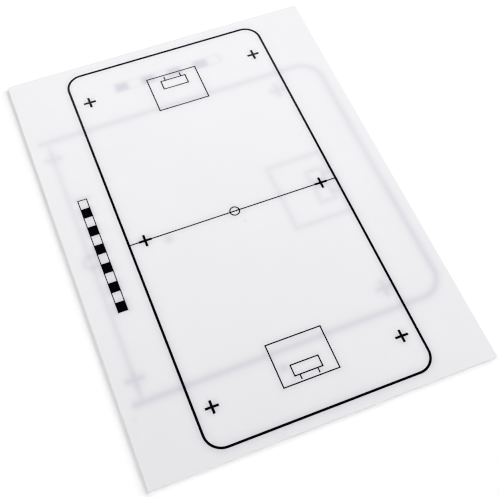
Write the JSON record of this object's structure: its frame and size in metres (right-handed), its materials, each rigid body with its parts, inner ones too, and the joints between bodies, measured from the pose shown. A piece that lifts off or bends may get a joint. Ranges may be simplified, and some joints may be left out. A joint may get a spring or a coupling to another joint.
{
  "type": "tactics board",
  "caption": "Flat milky-white plastic floorball tactics board, printed in black with a whole rink on the front and an enlarged half rink on the back; lies flat on either face.",
  "frame": {"origin": "centre of the back face, which lies on the table", "axes": "+X across the sheet to the right of the front print, +Y along the sheet to its far end, +Z out of the front face"},
  "size_m": [0.305, 0.4218, 0.002],
  "materials": {
    "sheet": "satin, milky translucent",
    "front_ink": "black screen-printed ink, semi-gloss",
    "back_ink": "black screen-printed ink, semi-gloss"
  },
  "bodies": {
    "root": {"board_sheet": "sheet", "front_border_line": "front_ink", "front_centre_line": "front_ink", "front_centre_spot_ring": "front_ink", "front_centre_cross_left": "front_ink", "front_centre_cross_right": "front_ink", "front_corner_cross_far_left": "front_ink", "front_corner_cross_far_right": "front_ink", "front_corner_cross_near_left": "front_ink", "front_corner_cross_near_right": "front_ink", "front_goal_crease_far": "front_ink", "front_goal_crease_near": "front_ink", "front_keeper_area_far": "front_ink", "front_keeper_area_near": "front_ink", "front_goal_posts_far": "front_ink", "front_goal_posts_near": "front_ink", "front_scale_bar": "front_ink", "back_border_line": "back_ink", "back_centre_line": "back_ink", "back_centre_spot_ring": "back_ink", "back_centre_cross_far": "back_ink", "back_centre_cross_near": "back_ink", "back_corner_cross_far": "back_ink", "back_corner_cross_near": "back_ink", "back_goal_crease": "back_ink", "back_keeper_area": "back_ink", "back_goal_posts": "back_ink", "back_scale_bar": "back_ink"}
  },
  "joints": []
}
